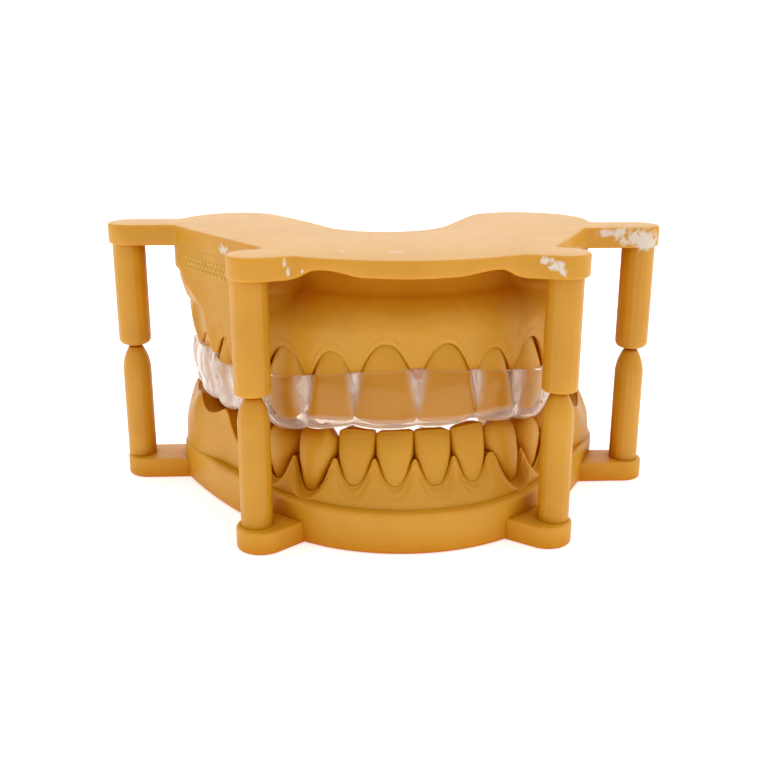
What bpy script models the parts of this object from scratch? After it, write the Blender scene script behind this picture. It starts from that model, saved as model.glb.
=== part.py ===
"""Upper and lower dental casts standing on four pairs of alignment posts, with a clear aligner
on the upper teeth.

The design frame has +X to the right, +Y to the back and +Z up, with its origin on the table,
midway between the two front posts. Design lengths are millimetres. Each mesh is scaled to metres
as it is made, and its object is placed so that the world origin is the footprint's centre.

Teeth, gums and aligner are drawn along an arch: a half ellipse on the line of the cusps. A point
there has a distance s along the arch from the midline, a distance out from it towards the lips
and cheeks (out < 0 is the tongue's side), and a height z.
"""

import math

import bmesh
import bpy
import numpy as np
from mathutils import Vector

MM = 0.001
FOOTPRINT_CENTRE = Vector((-2.1, 17.25, 0.0))  # in the design frame
GAP = 0.3  # between solids that touch

# Levels above the table
ARM_TOP = 3.28
LEDGE = 6.2
POSTS_MEET = 22.28
PLATE_BOTTOM = 39.22
PLATE_TOP = 42.48

# Posts
UPPER_POST_RADIUS = 2.6
LOWER_POST_RADIUS = 2.3
POST_SIDES = 16
POSTS = {
    "front_left": (-21.5, 0.0),
    "front_right": (21.5, 0.0),
    "rear_left": (-42.8, 30.0),
    "rear_right": (38.6, 24.3),
}
# Arms that carry the posts: the centre of the round end, the end inside the base, and the radius
LOWER_ARMS = {
    "front_left": ((-20.8, -0.2), (-13.2, 6.4), 3.7),
    "front_right": ((20.5, -0.2), (13.2, 5.5), 3.7),
    "rear_left": ((-41.4, 30.0), (-30.0, 30.0), 3.8),
    "rear_right": ((38.3, 24.3), (27.0, 24.3), 3.3),
}
UPPER_ARMS = {
    "front_left": ((-20.8, -0.2), (-11.5, 2.8), 3.7),
    "front_right": ((21.1, -0.1), (12.0, 2.8), 3.7),
    "rear_left": ((-42.1, 30.0), (-30.0, 30.0), 3.8),
    "rear_right": ((38.4, 24.3), (27.0, 24.3), 3.3),
}

# Outlines seen from above, as arcs through three points, anticlockwise from the front left
UPPER_OUTLINE = (
    ((-16.0, -2.1), (0.0, -6.5), (16.0, -1.6)),
    ((20.0, 2.5), (26.6, 16.0), (31.3, 27.0)),
    ((31.3, 27.0), (29.8, 35.8), (24.0, 39.6)),
    ((24.0, 39.6), (17.5, 39.6), (13.6, 37.2)),
    ((13.6, 37.2), (10.6, 31.0), (7.6, 24.4)),
    ((7.6, 24.4), (-1.2, 18.6), (-10.4, 23.0)),
    ((-10.4, 23.0), (-13.6, 29.0), (-18.8, 37.0)),
    ((-18.8, 37.0), (-22.0, 40.2), (-27.0, 40.8)),
    ((-27.0, 40.8), (-34.2, 35.2), (-35.0, 26.5)),
    ((-35.0, 26.5), (-28.2, 16.2), (-20.0, 4.5)),
)
LOWER_OUTER_OUTLINE = (
    ((-35.0, 27.0), (-28.9, 16.2), (-19.0, 3.6)),
    ((-19.0, 3.6), (0.0, -4.6), (18.6, 2.8)),
    ((18.6, 2.8), (28.6, 17.4), (33.3, 26.5)),
    ((33.3, 26.5), (33.6, 34.0), (28.5, 39.0)),
    ((28.5, 39.0), (22.6, 40.6), (16.8, 38.8)),
)
LOWER_REAR_LEFT_OUTLINE = (
    ((-18.4, 36.8), (-23.4, 39.9), (-29.8, 39.0)),
    ((-29.8, 39.0), (-34.3, 34.4), (-35.0, 27.0)),
)
ARC_STEPS = 8

# Teeth of one side, from the midline back: name, kind and width along the arch
UPPER_TEETH = (
    ("central_incisor", "incisor", 8.7),
    ("lateral_incisor", "incisor", 7.0),
    ("canine", "canine", 7.8),
    ("first_premolar", "premolar", 6.7),
    ("second_premolar", "premolar", 6.3),
    ("first_molar", "molar", 8.6),
    ("second_molar", "molar", 7.4),
)
LOWER_TEETH = (
    ("central_incisor", "incisor", 5.35),
    ("lateral_incisor", "incisor", 5.45),
    ("canine", "canine", 6.6),
    ("first_premolar", "premolar", 6.8),
    ("second_premolar", "premolar", 6.8),
    ("first_molar", "molar", 9.8),
    ("second_molar", "molar", 8.6),
)
# Rings of a crown from its neck to its tip: share of the height, share of the width, and how far
# the ring reaches inwards and outwards of the arch.
UPPER_CROWNS = {
    "incisor": ((0, 0.66, -6.6, -0.6), (0.35, 0.88, -5.6, 0.5), (0.7, 0.98, -2.9, 0.9),
                (0.93, 0.96, -0.9, 0.7), (1, 0.86, -0.4, 0.4)),
    "canine": ((0, 0.68, -7.4, -0.4), (0.35, 0.9, -6.4, 1.0), (0.7, 0.92, -3.8, 1.3),
               (0.93, 0.5, -1.0, 0.9), (1, 0.2, -0.4, 0.4)),
    "premolar": ((0, 0.72, -8.2, -0.2), (0.4, 0.96, -8.4, 1.1), (0.75, 0.96, -7.6, 0.9),
                 (1, 0.62, -5.8, -1.0)),
    "molar": ((0, 0.82, -9.4, 0.0), (0.4, 0.98, -10.0, 1.2), (0.75, 0.97, -9.2, 0.9),
              (1, 0.8, -7.6, -1.0)),
}
LOWER_CROWNS = {
    "incisor": ((0, 0.62, -3.2, 2.3), (0.35, 0.82, -2.9, 2.1), (0.7, 0.96, -1.8, 1.2),
                (0.93, 0.96, -0.7, 0.7), (1, 0.86, -0.4, 0.4)),
    "canine": ((0, 0.66, -4.4, 2.4), (0.35, 0.88, -4.2, 2.4), (0.7, 0.9, -2.6, 1.7),
               (0.93, 0.5, -0.8, 0.9), (1, 0.2, -0.4, 0.4)),
    "premolar": ((0, 0.76, -6.4, 1.4), (0.4, 0.96, -6.8, 2.0), (0.75, 0.96, -6.0, 1.2),
                 (1, 0.6, -4.4, -0.6)),
    "molar": ((0, 0.84, -8.6, 1.4), (0.4, 0.98, -9.0, 2.0), (0.75, 0.97, -8.2, 1.2),
              (1, 0.8, -6.8, -0.6)),
}
CROWN_SIDES = 12
CROWN_SQUARENESS = 2.6  # 2 is an ellipse

# Cross-sections along the arch, at the front and at the sides: how far out, and how high as a
# share of the way from the section's low level to its high level.
UPPER_GUM_FRONT = ((-3.4, 1), (-1.6, 0.65), (-0.2, 0.33), (-0.5, 0), (-7.2, 0), (-8.6, 0.35),
                   (-11, 0.75), (-13.5, 1))
UPPER_GUM_SIDE = ((6.2, 1), (6.2, 0.68), (4.6, 0.6), (3.4, 0), (-10, 0), (-11, 0.35),
                  (-12.2, 0.75), (-13.5, 1))
LOWER_GUM_FRONT = ((5.6, 0), (4.4, 0.2), (3.4, 0.5), (2.7, 1), (-3.6, 1), (-5.6, 0.5), (-6.6, 0))
LOWER_GUM_SIDE = ((7.0, 0), (6.8, 0.4), (5.2, 0.8), (3.0, 1), (-9.0, 1), (-10.2, 0.5), (-10.4, 0))
# Beside the molars the cheek's tissue stands higher than the gum's crest.
LOWER_GUM_REAR = ((7.4, 0), (6.9, 1.0), (5.2, 2.0), (3.0, 1), (-9.0, 1), (-10.2, 0.5), (-10.4, 0))
# The aligner's wall, down its outer side and up its inner side: how far out, share of the height
# from the tips to the trimmed edge, and height above the tips.
ALIGNER_FRONT = ((2.35, 1, 0), (2.3, 0, 1.2), (1.3, 0, -0.9), (-1.0, 0, -1.05),
                 (-5.4, 0, 3.2), (-8.2, 1, -0.4), (-7.45, 1, -0.4), (-4.7, 0, 3.5),
                 (-0.7, 0, -0.35), (0.95, 0, -0.35), (1.55, 0, 1.3), (1.6, 1, 0))
ALIGNER_SIDE = ((2.5, 1, 0), (2.45, 0, 1.5), (1.2, 0, -1.0), (-8.6, 0, -1.05),
                (-11.15, 0, 1.6), (-11.2, 1, -0.8), (-10.45, 1, -0.8), (-10.4, 0, 1.9),
                (-8.3, 0, -0.35), (0.7, 0, -0.35), (1.7, 0, 1.6), (1.75, 1, 0))
SIDE_STARTS, SIDE_ENDS = 15.0, 24.0  # where the front section turns into the side section
REAR_STARTS, REAR_ENDS = 33.0, 42.0  # where the side section turns into the rear section
STATION_STEP = 2.6
SPARE_GUM = 3.6  # how far the gums run on behind the last tooth

RESIN = ("ochre_resin", (0.64, 0.31, 0.06, 1.0), 0.45)
PLASTIC = ("clear_plastic", (0.86, 0.87, 0.88, 1.0), 0.12)


class Arch:
    """A half ellipse that runs straight back past its two ends. It can be turned about its
    front, and lean to the left by a share of the distance back."""

    def __init__(self, front, half_width, depth, turn, lean):
        self.front, self.lean = np.array(front), lean
        self.cos, self.sin = math.cos(turn), math.sin(turn)
        angle = np.linspace(0, math.pi / 2, 400)
        self.x = half_width * np.sin(angle)
        self.y = depth * (1 - np.cos(angle))
        self.s = np.append(0, np.cumsum(np.hypot(np.diff(self.x), np.diff(self.y))))

    def depth(self, s):
        """How far behind the arch's front a station lies."""
        far = max(0.0, abs(s) - self.s[-1])
        return float(np.interp(abs(s), self.s, self.y)) + far

    def point(self, s, out, z):
        side = 1 if s >= 0 else -1
        x, y = float(np.interp(abs(s), self.s, self.x)), self.depth(s)
        step = 0.05
        ahead = float(np.interp(abs(s) + step, self.s, self.x)) - x, self.depth(abs(s) + step) - y
        length = math.hypot(*ahead)
        x, y = side * (x + out * ahead[1] / length) - self.lean * y, y - out * ahead[0] / length
        turned = np.array((x * self.cos - y * self.sin, x * self.sin + y * self.cos))
        return (*(self.front + turned), z)


UPPER_ARCH = Arch((1.3, -0.2), half_width=29.5, depth=36.0, turn=math.radians(3.2), lean=0.03)
LOWER_ARCH = Arch((1.1, 1.8), half_width=27.5, depth=35.0, turn=math.radians(3.2), lean=0.0)


def upper_tip(s):
    return 18.6 - 0.05 * UPPER_ARCH.depth(s)


def upper_crest(s):
    return 27.4 - 0.1 * UPPER_ARCH.depth(s)


def aligner_edge(s):
    return 25.8 - 0.12 * UPPER_ARCH.depth(s)


def lower_tip(s):
    return 16.9 - 0.06 * LOWER_ARCH.depth(s)


def lower_crest(s):
    return 11.2 - 0.02 * LOWER_ARCH.depth(s)


def lower_pad(s):
    """How much higher the gum's crest is in the pad behind the last tooth."""
    teeth_end = sum(width for _, _, width in LOWER_TEETH)
    return 3.2 * smooth(abs(s), teeth_end, teeth_end + SPARE_GUM)


def smooth(value, start, end):
    share = min(1.0, max(0.0, (value - start) / (end - start)))
    return share * share * (3 - 2 * share)


def arc(first, middle, last):
    """Points on the circle through three points, without the last one."""
    (ax, ay), (bx, by), (cx, cy) = first, middle, last
    cross = 2 * (ax * (by - cy) + bx * (cy - ay) + cx * (ay - by))
    squares = ax * ax + ay * ay, bx * bx + by * by, cx * cx + cy * cy
    ox = (squares[0] * (by - cy) + squares[1] * (cy - ay) + squares[2] * (ay - by)) / cross
    oy = (squares[0] * (cx - bx) + squares[1] * (ax - cx) + squares[2] * (bx - ax)) / cross
    radius = math.hypot(ax - ox, ay - oy)
    start, end = math.atan2(ay - oy, ax - ox), math.atan2(cy - oy, cx - ox)
    anticlockwise = (bx - ax) * (cy - ay) - (by - ay) * (cx - ax) > 0
    if anticlockwise and end < start:
        end += 2 * math.pi
    if not anticlockwise and end > start:
        end -= 2 * math.pi
    angles = [start + (end - start) * step / ARC_STEPS for step in range(ARC_STEPS)]
    return [(ox + radius * math.cos(a), oy + radius * math.sin(a)) for a in angles]


def arcs(spans):
    return [point for span in spans for point in arc(*span)]


def capsule(start, end, radius):
    """The outline of a bar with two round ends."""
    (ax, ay), (bx, by) = start, end
    heading = math.atan2(by - ay, bx - ax)
    points = []
    for (x, y), turn in ((start, math.pi / 2), (end, -math.pi / 2)):
        for step in range(ARC_STEPS + 1):
            angle = heading + turn + math.pi * step / ARC_STEPS
            points.append((x + radius * math.cos(angle), y + radius * math.sin(angle)))
    return points


def new_material(spec):
    name, colour, roughness = spec
    material = bpy.data.materials.get(name)
    if material is None:
        material = bpy.data.materials.new(name)
        material.use_nodes = True
        shader = material.node_tree.nodes["Principled BSDF"]
        shader.inputs["Base Color"].default_value = colour
        shader.inputs["Roughness"].default_value = roughness
        shader.inputs["Metallic"].default_value = 0.0
    return material


def place(obj, collection, spec, parent, height=0.0):
    obj.location = (Vector((0, 0, height)) - FOOTPRINT_CENTRE) * MM
    collection.objects.link(obj)
    obj.data.materials.append(new_material(spec))
    if parent is not None:
        obj.parent = parent
        obj.matrix_parent_inverse = parent.matrix_world.inverted()
    return obj


def slab(name, outline, bottom, top, collection, parent):
    """A flat outline with a thickness, as a mesh."""
    curve = bpy.data.curves.new(name, "CURVE")
    curve.dimensions = "2D"
    curve.fill_mode = "BOTH"
    curve.extrude = (top - bottom) / 2 * MM
    spline = curve.splines.new("POLY")
    spline.points.add(len(outline) - 1)
    for point, (x, y) in zip(spline.points, outline):
        point.co = (x * MM, y * MM, 0, 1)
    spline.use_cyclic_u = True
    flat = bpy.data.objects.new(name + "_curve", curve)
    bpy.context.scene.collection.objects.link(flat)
    evaluated = flat.evaluated_get(bpy.context.evaluated_depsgraph_get())
    mesh = bpy.data.meshes.new_from_object(evaluated)
    bpy.data.objects.remove(flat)
    shape = bmesh.new()
    shape.from_mesh(mesh)
    bmesh.ops.remove_doubles(shape, verts=shape.verts, dist=0.01 * MM)
    bmesh.ops.recalc_face_normals(shape, faces=shape.faces)
    shape.to_mesh(mesh)
    shape.free()
    mesh.name = name
    return place(bpy.data.objects.new(name, mesh), collection, RESIN, parent, (top + bottom) / 2)


def loft(name, rings, collection, spec, parent):
    """A closed solid through rings of equally many points, with a face over each end ring."""
    shape = bmesh.new()
    rows = [[shape.verts.new(Vector(point) * MM) for point in ring] for ring in rings]
    for row, following in zip(rows, rows[1:]):
        for i in range(len(row)):
            j = (i + 1) % len(row)
            shape.faces.new((row[i], row[j], following[j], following[i]))
    shape.faces.new(rows[0])
    shape.faces.new(rows[-1])
    bmesh.ops.triangulate(shape, faces=shape.faces)
    bmesh.ops.recalc_face_normals(shape, faces=shape.faces)
    mesh = bpy.data.meshes.new(name)
    shape.to_mesh(mesh)
    shape.free()
    mesh.shade_smooth()
    mesh.set_sharp_from_angle(angle=math.radians(50))
    return place(bpy.data.objects.new(name, mesh), collection, spec, parent)


def turned_post(name, profile, centre, collection, parent):
    """A post whose profile, from the top down, is turned about its axis."""
    mesh = bpy.data.meshes.new(name)
    points = [(radius * MM, 0, z * MM) for radius, z in profile]
    mesh.from_pydata(points, [(i, i + 1) for i in range(len(points) - 1)], [])
    post = place(bpy.data.objects.new(name, mesh), collection, RESIN, parent)
    post.location += Vector((*centre, 0)) * MM
    screw = post.modifiers.new("turn", "SCREW")
    screw.steps = screw.render_steps = POST_SIDES
    screw.merge_threshold = 0.00001
    screw.use_merge_vertices = True
    screw.use_smooth_shade = True
    return post


def combine(obj, cutter, operation):
    """Joins a cutter to the object, or keeps only what the two share. The gums' long thin
    triangles defeat the exact solver."""
    cutter.hide_render = True
    cutter.display_type = "WIRE"
    boolean = obj.modifiers.new(cutter.name, "BOOLEAN")
    boolean.operation = operation
    boolean.object = cutter
    boolean.solver = "EXACT" if operation == "UNION" else "MANIFOLD"


def add_base(name, outline, levels, arms, arm_levels, collection, cutters, parent):
    """A base plate with the four arms that carry the posts."""
    base = slab(name, outline, *levels, collection, parent)
    for corner, bar in arms.items():
        arm = slab(f"{name}_{corner}_arm", capsule(*bar), *arm_levels, cutters, parent)
        combine(base, arm, "UNION")


def add_teeth(jaw, arch, teeth, crowns, neck, tip, collection, parent):
    for side, sign in (("left", -1), ("right", 1)):
        start = 0.0
        for name, kind, width in teeth:
            middle = sign * (start + width / 2)
            half = (width - GAP) / 2
            rings = []
            for share, narrow, inner, outer in crowns[kind]:
                ring = []
                for step in range(CROWN_SIDES):
                    angle = 2 * math.pi * step / CROWN_SIDES
                    along = math.copysign(abs(math.cos(angle)) ** (2 / CROWN_SQUARENESS),
                                          math.cos(angle))
                    across = math.copysign(abs(math.sin(angle)) ** (2 / CROWN_SQUARENESS),
                                           math.sin(angle))
                    s = middle + along * half * narrow
                    out = (inner + outer) / 2 + across * (outer - inner) / 2
                    ring.append(arch.point(s, out, neck(s) + share * (tip(s) - neck(s))))
                rings.append(ring)
            loft(f"{jaw}_{side}_{name}", rings, collection, RESIN, parent)
            start += width


def stations(teeth, spare):
    """Places along the arch from the left end to the right end, never on the midline itself."""
    end = sum(width for _, _, width in teeth) + spare
    count = 2 * math.ceil(end / STATION_STEP)
    return [-end + 2 * end * step / (count - 1) for step in range(count)]


def blend(front, side, rear, s):
    """The cross-section at a station, between the front's, the side's and the rear's."""
    front, side, rear = (np.array(section, float) for section in (front, side, rear))
    forward = front + smooth(abs(s), SIDE_STARTS, SIDE_ENDS) * (side - front)
    return forward + smooth(abs(s), REAR_STARTS, REAR_ENDS) * (rear - side)


def add_gum(name, arch, teeth, sections, low, high, pad, outline, collection, cutters, parent):
    """A gum ridge, trimmed to its base's outline as a cast is."""
    rings = [
        [arch.point(s, out, low(s) + share * (high(s) - low(s)) + min(share, 2 - share) * pad(s))
         for out, share in blend(*sections, s)]
        for s in stations(teeth, SPARE_GUM)
    ]
    gum = loft(name, rings, collection, RESIN, parent)
    trim = slab(name + "_trim", outline, ARM_TOP, PLATE_TOP, cutters, parent)
    combine(gum, trim, "INTERSECT")


def add_aligner(collection, parent):
    rings = []
    for s in stations(UPPER_TEETH, 1.0):
        tip, edge = upper_tip(s), aligner_edge(s)
        rings.append([
            UPPER_ARCH.point(s, out, tip + share * (edge - tip) + height)
            for out, share, height in blend(ALIGNER_FRONT, ALIGNER_SIDE, ALIGNER_SIDE, s)
        ])
    loft("clear_aligner", rings, collection, PLASTIC, parent)


def add_body_frame(name, height, collection, parent=None):
    """An empty on the body's line of travel, which is the footprint's vertical axis."""
    frame = bpy.data.objects.new(name, None)
    frame.location = (0, 0, height * MM)
    collection.objects.link(frame)
    if parent is not None:
        frame.parent = parent
        frame.location.z -= parent.location.z
    bpy.context.view_layer.update()
    return frame


def lower_outline():
    """The lower base's outline, open at the back round the tongue's space."""
    end = sum(width for _, _, width in LOWER_TEETH)
    count = 4 * ARC_STEPS
    inner = []
    for step in range(count + 1):
        s = end - 2 * end * step / count
        out = -7.0 - 4.0 * smooth(abs(s), SIDE_STARTS, SIDE_ENDS)
        inner.append(LOWER_ARCH.point(s, out, 0)[:2])
    return arcs(LOWER_OUTER_OUTLINE) + inner + arcs(LOWER_REAR_LEFT_OUTLINE)


def main():
    for obj in list(bpy.data.objects):
        bpy.data.objects.remove(obj)
    parts = bpy.data.collections.new("dental_articulator")
    cutters = bpy.data.collections.new("cutters")
    bpy.context.scene.collection.children.link(parts)
    bpy.context.scene.collection.children.link(cutters)

    lower = add_body_frame("lower_cast_frame", 0, parts)
    aligner = add_body_frame("aligner_frame", upper_tip(0), parts, lower)
    upper = add_body_frame("upper_cast_frame", PLATE_BOTTOM, parts, aligner)

    lower_shape, upper_shape = lower_outline(), arcs(UPPER_OUTLINE)
    add_base("lower_base", lower_shape, (0, LEDGE), LOWER_ARMS, (0, ARM_TOP), parts, cutters,
             lower)
    add_base("upper_base", upper_shape, (PLATE_BOTTOM, PLATE_TOP), UPPER_ARMS,
             (PLATE_BOTTOM, PLATE_TOP), parts, cutters, upper)
    add_gum("lower_gum", LOWER_ARCH, LOWER_TEETH,
            (LOWER_GUM_FRONT, LOWER_GUM_SIDE, LOWER_GUM_REAR),
            lambda s: LEDGE + GAP, lower_crest, lower_pad, lower_shape, parts, cutters, lower)
    add_gum("upper_gum", UPPER_ARCH, UPPER_TEETH,
            (UPPER_GUM_FRONT, UPPER_GUM_SIDE, UPPER_GUM_SIDE),
            upper_crest, lambda s: PLATE_BOTTOM - GAP, lambda s: 0, upper_shape, parts, cutters,
            upper)
    add_teeth("lower", LOWER_ARCH, LOWER_TEETH, LOWER_CROWNS,
              lambda s: lower_crest(s) + GAP, lower_tip, parts, lower)
    add_teeth("upper", UPPER_ARCH, UPPER_TEETH, UPPER_CROWNS,
              lambda s: upper_crest(s) - GAP, upper_tip, parts, upper)
    add_aligner(parts, aligner)

    wide, slim = UPPER_POST_RADIUS, LOWER_POST_RADIUS
    foot, tip = POSTS_MEET + GAP / 2, POSTS_MEET - GAP / 2
    upper_profile = ((0, PLATE_BOTTOM - GAP), (wide, PLATE_BOTTOM - GAP), (wide, foot + 1.1),
                     (wide - 0.3, foot + 0.35), (wide - 1.0, foot), (0, foot))
    lower_profile = ((0, tip), (0.75, tip), (1.5, tip - 0.7), (2.05, tip - 1.7),
                     (slim, tip - 2.9), (slim, ARM_TOP + GAP), (0, ARM_TOP + GAP))
    for corner, centre in POSTS.items():
        turned_post(f"lower_{corner}_post", lower_profile, centre, parts, lower)
        turned_post(f"upper_{corner}_post", upper_profile, centre, parts, upper)


main()
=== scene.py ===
from math import atan2, cos, hypot, pi, radians, sin

import bmesh
import bpy
import numpy as np
from mathutils import Matrix, Vector, geometry


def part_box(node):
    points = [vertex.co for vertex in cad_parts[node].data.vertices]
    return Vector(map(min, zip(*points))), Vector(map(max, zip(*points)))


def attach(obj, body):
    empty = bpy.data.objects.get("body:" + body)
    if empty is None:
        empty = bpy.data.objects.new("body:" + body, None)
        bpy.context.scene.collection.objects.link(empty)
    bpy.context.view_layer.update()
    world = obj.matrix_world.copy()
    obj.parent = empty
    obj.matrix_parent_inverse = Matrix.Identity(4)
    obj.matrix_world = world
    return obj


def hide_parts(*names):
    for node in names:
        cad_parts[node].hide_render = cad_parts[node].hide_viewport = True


# Upper and lower dental casts, printed in ochre resin, on four pairs of alignment posts, with a
# clear aligner on the upper teeth.
#
# The design frame is in millimetres: +X to the right, +Y to the back, +Z up, with the origin on
# the table midway between the front posts. Teeth, gums and aligner follow an arch: a point has a
# distance s along it from the midline, a distance out towards lips and cheeks, and a height z.

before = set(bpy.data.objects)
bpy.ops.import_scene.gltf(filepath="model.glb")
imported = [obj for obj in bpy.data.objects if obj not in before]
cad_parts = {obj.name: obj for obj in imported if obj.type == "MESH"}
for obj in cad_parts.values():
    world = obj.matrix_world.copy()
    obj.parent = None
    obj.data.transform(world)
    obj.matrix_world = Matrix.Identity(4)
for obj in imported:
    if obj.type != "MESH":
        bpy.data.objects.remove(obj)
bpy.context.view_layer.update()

SCENE = bpy.context.scene
MM = 0.001
GAP = 0.3  # the CAD's gap between solids that touch
FAR = 99.0  # stands for nothing in reach
SHARP_ANGLE = radians(55)
OUTLINE_STEP = 0.3


def box(node):
    """A node's lowest and highest corners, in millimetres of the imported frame."""
    low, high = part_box(node)
    return np.array(low) / MM, np.array(high) / MM


def centre(node):
    low, high = box(node)
    return (low + high) / 2


ORIGIN = (centre("lower_front_left_post") + centre("lower_front_right_post")) / 2 * (1, 1, 0)
LEDGE = box("lower_base")[1][2]
ARM_TOP = box("lower_front_left_post")[0][2] - GAP
PLATE_BOTTOM, PLATE_TOP = box("upper_base")[0][2], box("upper_base")[1][2]
POSTS_MEET = (box("lower_front_left_post")[1][2] + box("upper_front_left_post")[0][2]) / 2

# Arms that carry the posts: the centre of the round end, the end inside the base, and the radius
LOWER_ARMS = {
    "front_left": ((-20.8, -0.2), (-13.2, 6.4), 3.7),
    "front_right": ((20.5, -0.2), (13.2, 5.5), 3.7),
    "rear_left": ((-41.4, 30), (-30, 30), 3.8),
    "rear_right": ((38.3, 24.3), (27, 24.3), 3.3),
}
UPPER_ARMS = {
    "front_left": ((-20.8, -0.2), (-11.5, 2.8), 3.7),
    "front_right": ((21.1, -0.1), (12, 2.8), 3.7),
    "rear_left": ((-42.1, 30), (-30, 30), 3.8),
    "rear_right": ((38.4, 24.3), (27, 24.3), 3.3),
}

# Outlines seen from above, anticlockwise, in runs of arcs: a point, then for each arc a point
# on it and its end
UPPER_FRONT = (-16, -2.1), (0, -6.5), (16, -1.6)
UPPER_REST = ((20, 2.5), (26.6, 16), (31.3, 27), (29.8, 35.8), (24, 39.6), (17.5, 39.6),
              (13.6, 37.2), (10.6, 31), (7.6, 24.4), (-1.2, 18.6), (-10.4, 23), (-13.6, 29),
              (-18.8, 37), (-22, 40.2), (-27, 40.8), (-34.2, 35.2), (-35, 26.5),
              (-28.2, 16.2), (-20, 4.5))
LOWER_OUTSIDE = ((-35, 27), (-28.9, 16.2), (-19, 3.6), (0, -4.6), (18.6, 2.8), (28.6, 17.4),
                 (33.3, 26.5), (33.6, 34), (28.5, 39), (22.6, 40.6), (16.8, 38.8))
LOWER_REAR_LEFT = (-18.4, 36.8), (-23.4, 39.9), (-29.8, 39), (-34.3, 34.4), (-35, 27)

# Teeth of one side, from the midline back, and their widths along the arch
TEETH = ("central_incisor", "lateral_incisor", "canine", "first_premolar", "second_premolar",
         "first_molar", "second_molar")
UPPER_WIDTHS = 8.7, 7, 7.8, 6.7, 6.3, 8.6, 7.4
LOWER_WIDTHS = 5.35, 5.45, 6.6, 6.8, 6.8, 9.8, 8.6

# A crown from its root to its tip: share of the height above the gum's mean crest, share of the
# width, and how far it reaches inwards and outwards of the arch
UPPER_CROWNS = {
    "incisor": (
        (-0.55, 0.5, -5.6, -1.6), (-0.3, 0.66, -6.4, -0.8), (0, 0.86, -6.7, -0.05),
        (0.2, 0.95, -6.2, 0.35), (0.4, 1, -5.4, 0.7), (0.7, 1.02, -2.9, 0.9), (0.92, 1, -1.1, 0.75),
        (0.98, 0.96, -0.85, 0.6), (1, 0.9, -0.6, 0.35)),
    "canine": (
        (-0.55, 0.5, -6.4, -1.3), (-0.3, 0.66, -7.2, -0.2), (0, 0.84, -7.5, 0.65),
        (0.2, 0.95, -7.2, 1.15), (0.4, 1, -6.4, 1.5), (0.7, 1, -4, 1.5), (0.92, 0.8, -1.4, 1),
        (0.98, 0.66, -0.8, 0.7), (1, 0.56, -0.5, 0.4)),
    "premolar": (
        (-0.55, 0.56, -7.4, 0), (-0.3, 0.68, -8, 0.5), (0, 0.86, -8.4, 1), (0.4, 1, -8.6, 1.75),
        (0.7, 1, -8.1, 1.6), (0.9, 0.88, -7.1, 0.8), (0.97, 0.74, -6.4, 0.2), (1, 0.64, -5.9, -0.4)),
    "molar": (
        (-0.55, 0.7, -8.6, 0.5), (-0.3, 0.8, -9.2, 0.9), (0, 0.92, -9.8, 1.3), (0.4, 1, -10.1, 1.8),
        (0.7, 1, -9.6, 1.6), (0.9, 0.92, -8.7, 0.9), (0.97, 0.82, -8.1, 0.3), (1, 0.74, -7.6, -0.3)),
}
LOWER_CROWNS = {
    "incisor": (
        (-0.85, 0.48, -2.6, 1.6), (-0.5, 0.6, -3, 2.35), (-0.2, 0.74, -3.2, 2.55),
        (0, 0.85, -3.2, 2.5), (0.3, 0.97, -2.9, 2.2), (0.55, 1, -2.3, 1.75),
        (0.8, 1.01, -1.3, 1.15), (0.93, 1, -0.8, 0.8), (0.985, 0.96, -0.6, 0.6),
        (1, 0.9, -0.35, 0.35)),
    "canine": (
        (-1.15, 0.38, -3.2, 1.9), (-0.8, 0.52, -3.8, 2.4), (-0.5, 0.64, -4.1, 2.65),
        (-0.2, 0.76, -4.4, 2.75), (0, 0.86, -4.4, 2.75), (0.3, 0.96, -4.2, 2.55), (0.6, 1, -3, 2),
        (0.85, 0.95, -1.5, 1.2), (0.95, 0.86, -0.8, 0.8), (0.985, 0.78, -0.55, 0.6),
        (1, 0.7, -0.3, 0.35)),
    "premolar": (
        (-1.15, 0.46, -5.2, 1.3), (-0.75, 0.62, -5.8, 1.9), (-0.3, 0.76, -6.2, 2.2),
        (0, 0.87, -6.6, 2.3), (0.4, 0.98, -6.8, 2.2), (0.7, 1, -6.4, 1.6), (0.9, 0.86, -5.5, 0.7),
        (0.97, 0.72, -4.9, 0.1), (1, 0.62, -4.4, -0.4)),
    "molar": (
        (-0.65, 0.7, -7.8, 1), (-0.3, 0.78, -8.2, 1.4), (0, 0.9, -8.7, 1.8), (0.4, 1, -9, 2.1),
        (0.7, 1, -8.6, 1.6), (0.9, 0.9, -7.7, 0.8), (0.97, 0.82, -7.1, 0.2), (1, 0.74, -6.7, -0.3)),
}
CROWN_SIDES, CROWN_ROWS, CROWN_CAP = 72, 44, 14  # points round a crown, up it and over its top
CROWN_WAIST = 0.55  # where a crown is widest, from its inner face to its outer one
CROWN_SQUARENESS = {"incisor": 2.7, "canine": 2.3, "premolar": 2.5, "molar": 3}
LINGUAL_TAPER = {"incisor": 0.28, "canine": 0.26, "premolar": 0.12, "molar": 0.06}

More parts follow.
